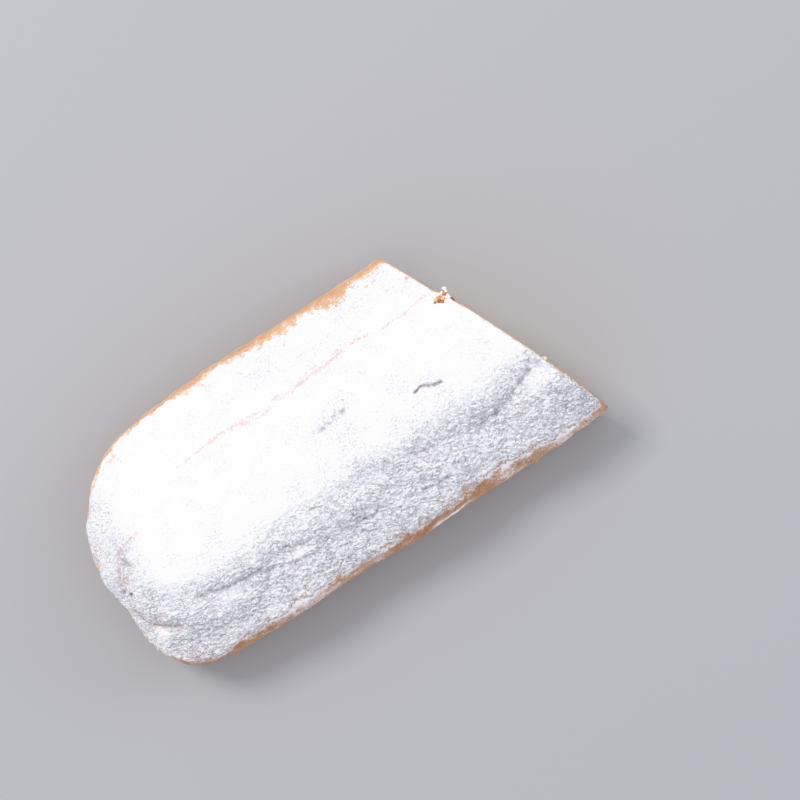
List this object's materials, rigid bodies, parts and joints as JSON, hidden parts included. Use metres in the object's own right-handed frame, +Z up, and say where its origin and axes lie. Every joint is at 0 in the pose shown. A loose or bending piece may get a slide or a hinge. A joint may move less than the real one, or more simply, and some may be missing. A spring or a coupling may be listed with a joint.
{
  "type": "christmas stollen",
  "caption": "Folded fruit loaf, cut across near one end, under a coat of icing sugar, with dried fruit, candied peel and almonds in the cut face.",
  "frame": {"origin": "on the resting plane, under the middle of the loaf's bounding box", "axes": "+X along the loaf towards the cut end, +Y towards the low lip beside the fold, +Z up"},
  "size_m": [0.2487, 0.1276, 0.0643],
  "materials": {
    "loaf": "matt baked crust and open crumb",
    "icing_sugar": "matt powder",
    "sultana": "moist, half gloss",
    "raisin": "moist, half gloss",
    "orange_peel": "candied, glossy",
    "lemon_peel": "candied, glossy",
    "almond": "matt cut nut"
  },
  "bodies": {
    "root": {"loaf": "loaf", "icing_sugar": "icing_sugar", "almond_01": "almond", "almond_02": "almond", "lemon_peel_01": "lemon_peel", "lemon_peel_02": "lemon_peel", "lemon_peel_03": "lemon_peel", "lemon_peel_04": "lemon_peel", "orange_peel_01": "orange_peel", "orange_peel_02": "orange_peel", "orange_peel_03": "orange_peel", "orange_peel_04": "orange_peel", "raisin_01": "raisin", "raisin_02": "raisin", "raisin_03": "raisin", "raisin_04": "raisin", "raisin_05": "raisin", "sultana_01": "sultana", "sultana_02": "sultana", "sultana_03": "sultana", "sultana_04": "sultana", "sultana_05": "sultana", "sultana_06": "sultana", "sultana_07": "sultana", "sultana_08": "sultana", "sultana_09": "sultana", "sultana_10": "sultana"}
  },
  "joints": []
}
